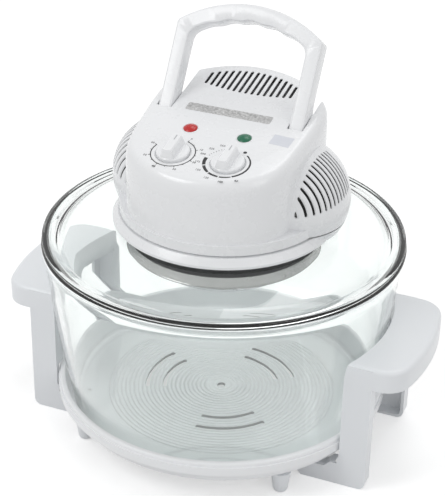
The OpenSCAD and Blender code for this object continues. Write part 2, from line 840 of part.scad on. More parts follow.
inlet_z = cover_z + 26;
inlet_half_w = 14;
inlet_half_h = 10.5;
inlet_face_y = head_r - 2.1;
inlet_flange = 3;
inlet_depth = 20;

module head_space() {
    difference() {
        union() {
            head_loft(shell_t, band_top_z - shell_t - 1);
            translate([0, 0, cover_z - 1]) cylinder(r = band_r - shell_t, h = band_h - shell_t + 1);
            above(cover_z + shell_t) mirrored() cheek_ball(cheek_r - shell_t);
        }
        mirrored() channel(shell_t);
        translate([bail_in - 3, pivot_y - 14, switch_top_z]) cube([40, 26, 10]);
        at_angles(cover_screw_angles, cover_screw_r, cover_z - 2) {
            cylinder(r = post_r, h = 36);
            translate([0, -1.5, band_h]) cube([20, 3, 36 - band_h]);
        }
        translate([-inlet_half_w - inlet_flange - 2, inlet_face_y - 6, inlet_z - inlet_half_h - inlet_flange - 2])
            cube([2 * (inlet_half_w + inlet_flange + 2), 10, 2 * (inlet_half_h + inlet_flange + 2)]);
    }
}

module top_vents() {
    half = (top_slots - 1) / 2;
    for (k = [-half:half]) {
        x = k * top_slot_pitch;
        front = top_slot_y + 0.003 * x * x;
        back = sqrt(top_slot_r * top_slot_r - x * x);
        translate([x, 0, panel_mid_z - 20]) {
            translate([-top_slot_w / 2, front, 0]) cube([top_slot_w, back - front, 60]);
            translate([0, front, 0]) cylinder(d = top_slot_w, h = 60);
            translate([0, back, 0]) cylinder(d = top_slot_w, h = 60);
        }
    }
}

module cheek_vents() {
    for (k = [0:cheek_slots - 1]) {
        y = cheek_slot_y + k * cheek_slot_pitch;
        x = cheek_x + 22 + 0.12 * k * cheek_slot_pitch;
        z = cheek_mid_z + 5 + 0.16 * k * cheek_slot_pitch;
        translate([x, y - cheek_slot_w / 2, z]) cube([60, cheek_slot_w, 60]);
        translate([x, y, z]) rotate([0, 90, 0]) cylinder(d = cheek_slot_w, h = 60, $fn = 24);
        translate([x, y, z]) cylinder(d = cheek_slot_w, h = 60, $fn = 24);
    }
}

module head_cover() {
    color(white_plastic)
        difference() {
            union() {
                head_loft(0, band_top_z - 1);
                translate([0, 0, cover_z]) cylinder(r = band_r, h = band_h);
                above(cover_z) mirrored() cheek_ball(cheek_r);
            }
            head_space();
            mirrored() channel(0);
            mirrored() cheek_vents();
            top_vents();
            for (s = [-1, 1]) {
                on_panel(s * knob_x, -knob_y) {
                    translate([0, 0, -recess_d]) cylinder(r = knob_r + knob_gap, h = 10);
                    translate([0, 0, -10]) cylinder(r = bush_r + 0.2, h = 20);
                }
                on_panel(s * knob_x, -lens_y) translate([0, 0, -10]) cylinder(r = lens_stem_r + 0.1, h = 20);
            }
            at_angles(cover_screw_angles, cover_screw_r, cover_z - 3) cylinder(r = screw_hole_r, h = 20);
            mirrored()
                translate([channel_in - 2, pivot_y, pivot_z]) rotate([0, 90, 0])
                    cylinder(r = pin_r + 0.02, h = pin_length);
            translate([switch_x, pivot_y, switch_top_z - 5]) cylinder(r = plunger_r + 0.3, h = 20);
            translate([-inlet_half_w - 0.1, inlet_face_y - inlet_depth, inlet_z - inlet_half_h - 0.1])
                cube([2 * inlet_half_w + 0.2, 40, 2 * inlet_half_h + 0.2]);
            translate([-inlet_half_w - inlet_flange, inlet_face_y, inlet_z - inlet_half_h - inlet_flange])
                cube([2 * (inlet_half_w + inlet_flange), 20, 2 * (inlet_half_h + inlet_flange)]);
        }
}

module cover_screws() {
    color(zinc)
        at_angles(cover_screw_angles, cover_screw_r, flange_z) screw(20);
}

// Carry handle: a bail lofted from rounded sections, with finger waves under the grip
bail_r = (bail_half * bail_half + pow(bail_crown - bail_shoulder, 2)) / (2 * (bail_crown - bail_shoulder));
bail_mid_z = bail_crown - bail_r;
bail_arc_n = 22;
corner_n = 4;

// Half of the handle from its right boss to its crown, as pairs of outer and inner points
outer_corner_r = 4;
inner_corner_r = 12;
grip_in_r = bail_r - grip_t;
shoulder_a = asin((bail_half - outer_corner_r) / (bail_r - outer_corner_r));
inner_a = asin((bail_in - inner_corner_r) / (grip_in_r - inner_corner_r));
function wave(a) = abs(a) > 24 ? 0 : wave_d * (1 - cos(a * 360 / 12)) / 2;
function outer_half() = concat(
    [[bail_half, 1.5], [bail_half, bail_mid_z + (bail_r - outer_corner_r) * cos(shoulder_a) - 2]],
    arc(bail_half - outer_corner_r, bail_mid_z + (bail_r - outer_corner_r) * cos(shoulder_a),
        outer_corner_r, 0, 90 - shoulder_a, corner_n),
    [for (k = [1:bail_arc_n]) let (a = shoulder_a * (1 - k / bail_arc_n))
        [bail_r * sin(a), bail_mid_z + bail_r * cos(a)]]);
function inner_half() = concat(
    [[bail_in, 1.5], [bail_in, bail_mid_z + (grip_in_r - inner_corner_r) * cos(inner_a) - 2]],
    arc(bail_in - inner_corner_r, bail_mid_z + (grip_in_r - inner_corner_r) * cos(inner_a),
        inner_corner_r, 0, 90 - inner_a, corner_n),
    [for (k = [1:bail_arc_n]) let (a = inner_a * (1 - k / bail_arc_n), r = grip_in_r - wave(a))
        [r * sin(a), bail_mid_z + r * cos(a)]]);

function reversed_left(pts) = [for (k = [len(pts) - 2:-1:0]) [-pts[k][0], pts[k][1]]];

// A rounded section between an outer and an inner point
edge_r = 2.4;
function bail_section(o, i) =
    let (w = norm(o - i), u = (o - i) / w, m = (o + i) / 2, hw = w / 2, hd = bail_d / 2,
        pts = concat(
            arc(hw - edge_r, hd - edge_r, edge_r, 0, 90, 2), arc(-hw + edge_r, hd - edge_r, edge_r, 90, 180, 2),
            arc(-hw + edge_r, -hd + edge_r, edge_r, 180, 270, 2), arc(hw - edge_r, -hd + edge_r, edge_r, 270, 360, 2)))
    [for (p = pts) [m[0] + u[0] * p[0], p[1], m[1] + u[1] * p[0]]];

module bail_loft() {
    outer = concat(outer_half(), reversed_left(outer_half()));
    inner = concat(inner_half(), reversed_left(inner_half()));
    rings = [for (k = [0:len(outer) - 1]) bail_section(outer[k], inner[k])];
    n = len(rings[0]);
    count = len(rings);
    polyhedron(
        points = [for (ring = rings) each ring],
        faces = concat(
            [[for (i = [0:n - 1]) i]],
            [for (k = [0:count - 2], i = [0:n - 1]) let (j = (i + 1) % n, a = k * n, b = (k + 1) * n)
                [a + j, a + i, b + i]],
            [for (k = [0:count - 2], i = [0:n - 1]) let (j = (i + 1) % n, a = k * n, b = (k + 1) * n)
                [a + j, b + i, b + j]],
            [[for (i = [n - 1:-1:0]) (count - 1) * n + i]]));
}

// Cam on the right boss: it grows steadily with the handle's fold and presses the plunger
module cam() {
    function cam_r(a) = a < 0 ? boss_r - 0.6 : boss_r + cam_lift + plunger_travel * min(1, a / bail_fold);
    steps = 12;
    spread = 12;
    translate([switch_x - 3, 0, 0])
        rotate([90, 0, 90])
            linear_extrude(6)
                polygon(concat(
                    [[0, 0]],
                    [for (k = [0:steps]) let (a = -spread + (bail_fold + 2 * spread) * k / steps)
                        [cam_r(a) * sin(a), -cam_r(a) * cos(a)]]));
}

module carry_handle() {
    color(white_plastic)
        translate([0, pivot_y, pivot_z])
            difference() {
                union() {
                    rotate([-bail_lean, 0, 0]) bail_loft();
                    mirrored()
                        translate([bail_in - boss_side, 0, 0]) rotate([0, 90, 0])
                            cylinder(r = boss_r, h = bail_leg_w + 2 * boss_side);
                    cam();
                }
                translate([-100, 0, 0]) rotate([0, 90, 0]) cylinder(r = pin_r + run_gap, h = 200);
            }
}

pin_length = channel_out - channel_in + 4;
module handle_pins() {
    color(steel)
        mirrored()
            translate([channel_in - 2, pivot_y, pivot_z]) rotate([0, 90, 0]) cylinder(r = pin_r, h = pin_length);
}

// Safety switch under the right boss, and its plunger
switch_x = (bail_in + bail_half) / 2;
switch_top_z = pivot_z - pocket_r - shell_t - 1;
switch_h = 11;
plunger_r = 1.6;
module safety_switch() {
    color([0.15, 0.15, 0.16])
        difference() {
            translate([switch_x - 5, pivot_y - 12, switch_top_z - switch_h]) cube([10, 22, switch_h]);
            translate([switch_x, pivot_y, switch_top_z - switch_h + 1.5]) cylinder(r = plunger_r + run_gap, h = 20);
        }
}

module switch_plunger() {
    top = pivot_z - boss_r - cam_lift - fit_gap;
    low = switch_top_z - 5.5;
    color([0.8, 0.2, 0.15])
        translate([switch_x, pivot_y, low]) {
            cylinder(r = plunger_r, h = top - plunger_r - low);
            translate([0, 0, top - plunger_r - low]) sphere(r = plunger_r);
        }
}

// Timer and thermostat hang under the panel by their bushes
bush_r = 4.4;
module dial_drive(r, h) {
    difference() {
        union() {
            translate([0, 0, -shell_t - h]) cylinder(r = r, h = h);
            translate([0, 0, -shell_t - 0.1]) cylinder(r = bush_r, h = shell_t - recess_d + 0.1);
        }
        translate([0, 0, -shell_t - 12]) cylinder(r = spindle_r + run_gap, h = 20);
    }
}

module timer() {
    color(steel)
        on_panel(-knob_x, -knob_y) {
            dial_drive(16.5, 16);
            translate([0, 0, -shell_t - 20]) cylinder(r1 = 10, r2 = 12, h = 4);
        }
}

module thermostat() {
    color([0.55, 0.45, 0.3])
        on_panel(knob_x, -knob_y) {
            dial_drive(13, 13);
            for (s = [-1, 1]) translate([s * 13 - 3, -4, -shell_t - 11]) cube([6, 8, 1]);
        }
}

// Knob: a low skirt and a tapered grip bar on a spindle
module knob() {
    skirt_top = 3;
    translate([0, 0, -recess_d + 0.4]) cylinder(r = knob_r, h = recess_d - 0.4 + skirt_top - 0.8);
    translate([0, 0, skirt_top - 0.8]) cylinder(r1 = knob_r, r2 = knob_r - 0.8, h = 0.8);
    intersection() {
        translate([0, 0, skirt_top - 0.5]) cylinder(r1 = knob_r - 0.6, r2 = knob_r - 2.6, h = knob_h - skirt_top);
        translate([0, knob_r + 1, 0])
            rotate([90, 0, 0])
                linear_extrude(2 * knob_r + 2)
                    polygon([[-grip_w / 2 - 1.5, skirt_top - 1], [grip_w / 2 + 1.5, skirt_top - 1],
                        [grip_w / 2, knob_h - 2], [grip_w / 2 - 1.2, knob_h - 0.6],
                        [-grip_w / 2 + 1.2, knob_h - 0.6], [-grip_w / 2, knob_h - 2]]);
    }
    translate([0, 0, -shell_t - 11]) cylinder(r = spindle_r, h = shell_t + 12);
}

module timer_knob() {
    color(white_plastic) on_panel(-knob_x, -knob_y) knob();
}

module thermostat_knob() {
    color(white_plastic) on_panel(knob_x, -knob_y) knob();
}

// Lenses with a hollow stem that holds the indicator lamp
lens_stem_r = 4.8;
lens_bore_r = 3.2;
module lens(x) {
    on_panel(x, -lens_y)
        difference() {
            union() {
                translate([0, 0, -10]) cylinder(r = lens_stem_r, h = 10.5);
                intersection() {
                    cylinder(r = lens_r, h = 4);
                    translate([0, 0, 2.6 - 10]) sphere(r = 10);
                }
            }
            translate([0, 0, -11]) cylinder(r = lens_bore_r, h = 10);
        }
}

module red_lens() {
    color([0.8, 0.05, 0.05]) lens(-knob_x);
}

module green_lens() {
    color([0.05, 0.45, 0.3]) lens(knob_x);
}

module indicator_lamps() {
    color([0.95, 0.85, 0.7])
        for (s = [-1, 1])
            on_panel(s * knob_x, -lens_y) translate([0, 0, -14]) cylinder(r = lens_bore_r - 0.05, h = 12.5);
}

// Power inlet in the back wall, with its recess and three pins
inlet_wall = 2;
module power_inlet() {
    color([0.1, 0.1, 0.1])
        difference() {
            union() {
                translate([-inlet_half_w, inlet_face_y - inlet_depth, inlet_z - inlet_half_h])
                    cube([2 * inlet_half_w, inlet_depth, 2 * inlet_half_h]);
                translate([-inlet_half_w - inlet_flange + 0.2, inlet_face_y,
                    inlet_z - inlet_half_h - inlet_flange + 0.2])
                    cube([2 * (inlet_half_w + inlet_flange) - 0.4, 2, 2 * (inlet_half_h + inlet_flange) - 0.4]);
            }
            translate([-inlet_half_w + inlet_wall, inlet_face_y - inlet_depth + 3,
                inlet_z - inlet_half_h + inlet_wall])
                cube([2 * (inlet_half_w - inlet_wall), inlet_depth, 2 * (inlet_half_h - inlet_wall)]);
            inlet_pin_places() cube([2.1, 40, 4.1], center = true);
        }
}

module inlet_pin_places() {
    for (p = [[-7, -1.5], [0, 2.5], [7, -1.5]])
        translate([p[0], inlet_face_y - inlet_depth, inlet_z + p[1]]) children();
}

module inlet_pins() {
    color(steel)
        inlet_pin_places() translate([-1, -5, -2]) cube([2, 19, 4]);
}

// Motor: laminations with a coil on their yoke, between two bearing brackets
bracket_t = 2;
stator_z = post_top_z + bracket_t;
stator_top_z = stator_z + stator_h;
bush_out_r = 6.5;
yoke_y = 24;
yoke_end_y = 48;
yoke_w = 10;
module motor_stator() {
    color([0.35, 0.36, 0.38])
        translate([0, 0, stator_z])
            difference() {
                translate([-stator_half, -22, 0]) cube([2 * stator_half, yoke_end_y + 22, stator_h]);
                translate([-stator_half + yoke_w, yoke_y, -1])
                    cube([2 * (stator_half - yoke_w), yoke_end_y - yoke_w - yoke_y, stator_h + 2]);
                translate([0, 0, -1]) cylinder(r = rotor_r + 0.4, h = stator_h + 2);
                for (s = [-1, 1]) translate([s * post_x, 0, -1]) cylinder(r = screw_hole_r, h = stator_h + 2);
            }
}

module motor_coil() {
    coil_w = 2 * (stator_half - yoke_w) - 4;
    color([0.75, 0.55, 0.2])
        difference() {
            translate([-coil_w / 2, yoke_end_y - yoke_w - 3.5, stator_z - 3.5])
                cube([coil_w, yoke_w + 7, stator_h + 7]);
            translate([-coil_w, yoke_end_y - yoke_w, stator_z]) cube([2 * coil_w, yoke_w, stator_h]);
        }
}

module motor_bracket() {
    difference() {
        union() {
            translate([-stator_half, -8, 0]) cube([2 * stator_half, 16, bracket_t]);
            cylinder(r = bush_out_r, h = bracket_t + 4);
        }
        translate([0, 0, -1]) cylinder(r = shaft_r + run_gap, h = bracket_t + 6);
        for (s = [-1, 1]) translate([s * post_x, 0, -1]) cylinder(r = screw_hole_r, h = bracket_t + 2);
    }
}

module motor_brackets() {
    color(steel) {
        translate([0, 0, stator_top_z]) motor_bracket();
        translate([0, 0, stator_z]) mirror([0, 0, 1]) motor_bracket();
    }
}

module motor_screws() {
    length = stator_top_z + bracket_t - flange_z - 2;
    color(zinc)
        for (s = [-1, 1])
            translate([s * post_x, 0, stator_top_z + bracket_t]) mirror([0, 0, 1]) screw(length);
}

cool_fan_z = stator_top_z + bracket_t + 6;
fan_disc_z = pan_z - pan_t - 5;
blade_h = 9;
fan_hub_low_z = fan_disc_z - blade_h;
shaft_low_z = fan_hub_low_z - 4;
hub_r = 7;
module motor_shaft() {
    color(steel)
        translate([0, 0, shaft_low_z]) cylinder(r = shaft_r, h = cool_fan_z + 12 - shaft_low_z);
}

module rotor() {
    color([0.45, 0.46, 0.48])
        translate([0, 0, stator_z + 0.6]) tube(rotor_r, shaft_r, stator_h - 1.2);
}

module cooling_fan() {
    color([0.3, 0.3, 0.32])
        translate([0, 0, cool_fan_z])
            intersection() {
                difference() {
                    union() {
                        cylinder(r = hub_r, h = 9);
                        for (k = [0:cool_blades - 1])
                            rotate([0, 0, k * 360 / cool_blades])
                                translate([hub_r - 1, 0, 4.5]) rotate([35, 0, 0])
                                    translate([0, -6, -0.6]) cube([cool_fan_r, 12, 1.2]);
                    }
                    translate([0, 0, -1]) cylinder(r = shaft_r, h = 20);
                }
                cylinder(r = cool_fan_r, h = 9);
            }
}

module convection_fan() {
    color(steel)
        difference() {
            union() {
                translate([0, 0, fan_disc_z]) cylinder(r = heat_fan_r, h = 1.2);
                translate([0, 0, fan_hub_low_z]) cylinder(r = hub_r, h = blade_h + 1);
                for (k = [0:heat_blades - 1])
                    rotate([0, 0, k * 360 / heat_blades])
                        translate([16, -0.5, fan_hub_low_z + 1]) cube([heat_fan_r - 18, 1, blade_h]);
            }
            translate([0, 0, fan_hub_low_z - 1]) cylinder(r = shaft_r, h = 20);
        }
}

module fan_nut() {
    color(zinc)
        translate([0, 0, shaft_low_z])
            difference() {
                cylinder(r = 5.5, h = fan_hub_low_z - shaft_low_z, $fn = 6);
                translate([0, 0, -1]) cylinder(r = shaft_r, h = 10);
            }
}

base_dish();
base_feet();
left_bracket();
right_bracket();
bracket_screws();
bowl();
lid_glass();
upper_seal();
clamp_seal();
lamp_pan();
pan_spacers();
pan_screws();
heat_shield();
wire_guard();
guard_screws();
halogen_lamp();
lamp_filament();
lamp_holders();
lower_housing();
head_cover();
cover_screws();
carry_handle();
handle_pins();
safety_switch();
switch_plunger();
timer();
timer_knob();
thermostat();
thermostat_knob();
red_lens();
green_lens();
indicator_lamps();
power_inlet();
inlet_pins();
motor_stator();
motor_coil();
motor_brackets();
motor_screws();
motor_shaft();
rotor();
cooling_fan();
convection_fan();
fan_nut();
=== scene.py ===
# Looks of the halogen oven: camera, finishes, dial prints and studio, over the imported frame
import math

import bmesh
import bpy
from mathutils import Matrix, Vector


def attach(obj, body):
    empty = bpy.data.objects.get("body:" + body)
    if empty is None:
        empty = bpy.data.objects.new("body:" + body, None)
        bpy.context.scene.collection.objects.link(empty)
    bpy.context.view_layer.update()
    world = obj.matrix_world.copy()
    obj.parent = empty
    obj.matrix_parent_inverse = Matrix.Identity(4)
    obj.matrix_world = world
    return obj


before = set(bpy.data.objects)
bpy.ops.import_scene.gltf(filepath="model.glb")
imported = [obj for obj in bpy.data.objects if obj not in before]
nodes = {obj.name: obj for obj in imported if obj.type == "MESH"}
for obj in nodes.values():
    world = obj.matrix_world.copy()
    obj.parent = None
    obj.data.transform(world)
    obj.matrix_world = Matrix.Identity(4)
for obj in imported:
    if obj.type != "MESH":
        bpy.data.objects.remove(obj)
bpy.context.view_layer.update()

MM = 0.001

# Places on the frame, in millimetres: tilted panel, knobs, lenses, cheeks and the dish's floor
PANEL_TILT = math.radians(11.1)
PANEL_MID = 304.7
KNOB_X = 25.2
KNOB_Y = -57.0
KNOB_TOP = 10.9
LENS_Y = -20.0
LENS_RIM_R = 6.9
CHEEK = (58.0, 12.0, 239.0)
CHEEK_R = 53.5
DISH_FLOOR_LOW = 22.0
DISH_FLOOR_TOP = 25.0
DISH_FLAT_R = 109.0

# Where the painted shade of the hollow behind the vents begins: under the skin, outside the side wall,
# around the top's slots
SKIN_DEPTH = 0.9
CHEEK_HOLLOW_X = 79.0
TOP_HOLLOW_Y = 41.0
TOP_HOLLOW_R = 79.5
TOP_HOLLOW_X = 45.0

# Fine rings of the dish's floor: their pitch, and how far below its top they begin
RING_PITCH = 4.0
RING_MARGIN = 0.5

# Walls of the dish's slots: how far inside the floor's lower and upper face the painted shade begins
SLOT_LOW_MARGIN = 0.2
SLOT_TOP_MARGIN = 0.15

# Print and plates on the panel: their thickness, and how far they are lifted from it
INK = 0.12
PLATE = 0.1
DIAL_LIFT = -0.02
FIGURE_LIFT = 0.05
PLATE_LIFT = 0.03

# Timer's scale: radii of its ring, ticks and figures, and their angles, counted from the panel's right
TIMER_RING = (18.8, 19.7)
TIMER_TICK_R = 19.4
TIMER_TICK_LENGTHS = (2.0, 1.2)
TIMER_FIGURE_R = 24.0
TIMER_FIGURE_SIZE = 3.4
TIMER_START = 72
TIMER_SWEEP = 272
TIMER_TICKS = 12
TIMER_FIGURES = 6

# Thermostat's scale: a ring that thickens, four bands that grow, a row of ticks, a dot for off, and figures
HEAT_RING_ANGLES = (52, -58)
HEAT_RING_R = 18.3
HEAT_RING_WIDTHS = (1.2, 1.9)
HEAT_BAND_ANGLES = (-61, -190)
HEAT_BANDS = 4
HEAT_BAND_GAP = 0.03
HEAT_BAND_R = 18.9
HEAT_BAND_WIDTHS = (1.2, 3.2)
HEAT_TICKS = 10
HEAT_TICK_R = 20.2
HEAT_TICK_START = 162
HEAT_TICK_STEP = 7
HEAT_OFF_ANGLE = 66
HEAT_OFF_AT = 20.4
HEAT_OFF_R = 1.6
HEAT_FIGURE_R = 26.0
HEAT_FIGURE_SIZE = 3.3
HEAT_FIGURES = {
    "65": -52, "100": -82, "125": -112, "150": -142,
    "175": -168, "200": -194, "225": -216, "250": -238,
}

# Bare plates on the panel: the long strip and the pale sticker
STRIP_AT = (-2, 11)
STRIP_SIZE = (80, 11)
STRIP_CORNER_R = 1.5
STICKER_AT = (57, -14)
STICKER_SIZE = (18.5, 14)
STICKER_TURN = math.radians(-4)

# Colours of the white housing, which two finishes share
SHELL_TINT = (0.87, 0.88, 0.89, 1)
SHELL_SHADE = (0.84, 0.85, 0.87, 1)

# Camera: angles in degrees, distance and aim in metres, focal length and picture width in pixels
AZIMUTH = 22.08
ELEVATION = 29.31
ROLL = 1.1
DISTANCE = 1.362
AIM_HEIGHT = 0.1771
FOCAL_PIXELS = 1491
PICTURE_WIDTH = 445
SENSOR_WIDTH = 36
SIDE_SHIFT = -0.003

# Lamps: place and diameter in metres, power in watts
LAMPS = {
    "key_lamp": ((-1.1, -1.2, 1.9), 1.1, 12),
    "fill_lamp": ((1.6, -1.0, 1.2), 1.0, 4),
    "top_lamp": ((0.2, 0.9, 2.2), 1.2, 8),
}
LAMP_AIM = Vector((0, 0, 0.2))


# Camera

def place_camera():
    azimuth, elevation, roll = math.radians(AZIMUTH), math.radians(ELEVATION), math.radians(ROLL)
    away = Vector((math.sin(azimuth) * math.cos(elevation), -math.cos(azimuth) * math.cos(elevation),
                   math.sin(elevation)))
    right = Vector((math.cos(azimuth), math.sin(azimuth), 0))
    up = away.cross(right)
    turned_right = right * math.cos(roll) + up * math.sin(roll)
    turned_up = up * math.cos(roll) - right * math.sin(roll)
    data = bpy.data.cameras.new("camera")
    data.sensor_fit = "HORIZONTAL"
    data.sensor_width = SENSOR_WIDTH
    data.lens = FOCAL_PIXELS / PICTURE_WIDTH * SENSOR_WIDTH
    data.shift_x = SIDE_SHIFT
    camera = bpy.data.objects.new("camera", data)
    bpy.context.scene.collection.objects.link(camera)
    turn = Matrix((turned_right, turned_up, away)).transposed().to_4x4()
    camera.matrix_world = Matrix.Translation(Vector((0, 0, AIM_HEIGHT)) + away * DISTANCE) @ turn
    bpy.context.scene.camera = camera


# Shader node groups that the finishes share

def add_node(tree, kind, x, y, **settings):
    node = tree.nodes.new(kind)
    node.location = (x, y)
    for key, value in settings.items():
        setattr(node, key, value)
    return node


def set_inputs(node, **values):
    for key, value in values.items():
        node.inputs[key.replace("_", " ")].default_value = value


def start_group(name, inputs, outputs):
    tree = bpy.data.node_groups.new(name, "ShaderNodeTree")
    for label, kind, default in inputs:
        socket = tree.interface.new_socket(label, in_out="INPUT", socket_type=kind)
        socket.default_value = default
    for label, kind in outputs:
        tree.interface.new_socket(label, in_out="OUTPUT", socket_type=kind)
    return tree, add_node(tree, "NodeGroupInput", -900, 0), add_node(tree, "NodeGroupOutput", 700, 0)


def maths(tree, operation, first, second=None, third=None, x=0, y=0):
    """Places a Math node whose inputs are sockets or plain numbers, and returns its output."""
    node = add_node(tree, "ShaderNodeMath", x, y, operation=operation)
    for slot, value in enumerate((first, second, third)):
        if value is None:
            continue
        if isinstance(value, float):
            node.inputs[slot].default_value = value
        else:
            tree.links.new(value, node.inputs[slot])
    return node.outputs[0]


def distance_from_axis(tree, point, x, y):
    flat = add_node(tree, "ShaderNodeVectorMath", x, y, operation="MULTIPLY")
    flat.inputs[1].default_value = (1, 1, 0)
    radius = add_node(tree, "ShaderNodeVectorMath", x + 200, y, operation="LENGTH")
    tree.links.new(point, flat.inputs[0])
    tree.links.new(flat.outputs["Vector"], radius.inputs[0])
    return radius.outputs["Value"]


def start_painted_shade(name, dark):
    """Starts a group of painted shade: it puts a dark colour over the given one where its mask, still to be
    linked, is 1.
    """
    tree, given, result = start_group(
        name,
        [("Color", "NodeSocketColor", (0.8, 0.8, 0.8, 1)), ("Dark", "NodeSocketColor", dark)],
        [("Color", "NodeSocketColor")])
    place = add_node(tree, "ShaderNodeTexCoord", -1300, -200)
    apart = add_node(tree, "ShaderNodeSeparateXYZ", -1100, -200)
    mix = add_node(tree, "ShaderNodeMix", 450, 100, data_type="RGBA")
    tree.links.new(place.outputs["Object"], apart.inputs[0])
    tree.links.new(given.outputs["Color"], mix.inputs["A"])
    tree.links.new(given.outputs["Dark"], mix.inputs["B"])
    tree.links.new(mix.outputs["Result"], result.inputs["Color"])
    return tree, mix.inputs["Factor"], place.outputs["Object"], apart.outputs


def make_moulded_skin():
    tree, given, result = start_group(
        "moulded_skin",
        [("Tint", "NodeSocketColor", (0.8, 0.8, 0.8, 1)),
         ("Shade", "NodeSocketColor", (0.7, 0.7, 0.7, 1)),
         ("Patch Size", "NodeSocketFloat", 12.0),
         ("Gloss", "NodeSocketFloat", 0.25),
         ("Smudge", "NodeSocketFloat", 0.1),
         ("Grain Size", "NodeSocketFloat", 900.0),
         ("Grain Depth", "NodeSocketFloat", 0.02)],
        [("Color", "NodeSocketColor"), ("Roughness", "NodeSocketFloat"), ("Normal", "NodeSocketVector")])
    place = add_node(tree, "ShaderNodeTexCoord", -900, -260)
    patches = add_node(tree, "ShaderNodeTexNoise", -600, 200)
    set_inputs(patches, Detail=3.0, Roughness=0.5)
    smudges = add_node(tree, "ShaderNodeTexNoise", -600, -60)
    set_inputs(smudges, Scale=38.0, Detail=5.0, Roughness=0.6)
    grain = add_node(tree, "ShaderNodeTexNoise", -600, -320)
    set_inputs(grain, Detail=2.0)
    mix = add_node(tree, "ShaderNodeMix", -300, 240, data_type="RGBA")
    spread = add_node(tree, "ShaderNodeMapRange", -300, -20)
    set_inputs(spread, From_Min=0.3, From_Max=0.7)
    low = add_node(tree, "ShaderNodeMath", -600, -560, operation="ADD")
    bump = add_node(tree, "ShaderNodeBump", 200, -320)
    set_inputs(bump, Distance=0.0004)
    link = tree.links.new
    for texture in (patches, smudges, grain):
        link(place.outputs["Object"], texture.inputs["Vector"])
    link(given.outputs["Patch Size"], patches.inputs["Scale"])
    link(given.outputs["Grain Size"], grain.inputs["Scale"])
    link(patches.outputs["Fac"], mix.inputs["Factor"])
    link(given.outputs["Tint"], mix.inputs["A"])
    link(given.outputs["Shade"], mix.inputs["B"])
    link(given.outputs["Gloss"], low.inputs[0])
    link(given.outputs["Smudge"], low.inputs[1])
    link(smudges.outputs["Fac"], spread.inputs["Value"])
    link(given.outputs["Gloss"], spread.inputs["To Min"])
    link(low.outputs[0], spread.inputs["To Max"])
    link(given.outputs["Grain Depth"], bump.inputs["Strength"])
    link(grain.outputs["Fac"], bump.inputs["Height"])
    link(mix.outputs["Result"], result.inputs["Color"])
    link(spread.outputs["Result"], result.inputs["Roughness"])
    link(bump.outputs["Normal"], result.inputs["Normal"])
    return tree


def make_drawn_metal():
    tree, given, result = start_group(
        "drawn_metal",
        [("Tint", "NodeSocketColor", (0.7, 0.7, 0.7, 1)),
         ("Gloss", "NodeSocketFloat", 0.15),
         ("Line Pitch", "NodeSocketFloat", 700.0),
         ("Line Depth", "NodeSocketFloat", 0.05)],
        [("Color", "NodeSocketColor"), ("Roughness", "NodeSocketFloat"), ("Normal", "NodeSocketVector")])
    place = add_node(tree, "ShaderNodeTexCoord", -900, -260)
    rings = add_node(tree, "ShaderNodeTexWave", -600, -260, wave_type="RINGS", rings_direction="Z")
    set_inputs(rings, Distortion=1.5, Detail=2.0, Detail_Scale=0.4)
    stain = add_node(tree, "ShaderNodeTexNoise", -600, 100)
    set_inputs(stain, Scale=25.0, Detail=4.0)
    tone = add_node(tree, "ShaderNodeMix", -200, 240, data_type="RGBA", blend_type="MULTIPLY")
    ramp = add_node(tree, "ShaderNodeValToRGB", -400, 120)
    ramp.color_ramp.elements[0].color = (0.86, 0.86, 0.87, 1)
    ramp.color_ramp.elements[1].color = (1, 1, 1, 1)
    blur = add_node(tree, "ShaderNodeMath", -200, -40, operation="MULTIPLY_ADD")
    blur.inputs[1].default_value = 0.12
    bump = add_node(tree, "ShaderNodeBump", 200, -320)
    set_inputs(bump, Distance=0.0002)
    link = tree.links.new
    link(place.outputs["Object"], rings.inputs["Vector"])
    link(place.outputs["Object"], stain.inputs["Vector"])
    link(given.outputs["Line Pitch"], rings.inputs["Scale"])
    link(stain.outputs["Fac"], ramp.inputs["Fac"])
    link(given.outputs["Tint"], tone.inputs["A"])
    link(ramp.outputs["Color"], tone.inputs["B"])
    tone.inputs["Factor"].default_value = 1
    link(stain.outputs["Fac"], blur.inputs[0])
    link(given.outputs["Gloss"], blur.inputs[2])
    link(rings.outputs["Fac"], bump.inputs["Height"])
    link(given.outputs["Line Depth"], bump.inputs["Strength"])
    link(tone.outputs["Result"], result.inputs["Color"])
    link(blur.outputs[0], result.inputs["Roughness"])
    link(bump.outputs["Normal"], result.inputs["Normal"])
    return tree


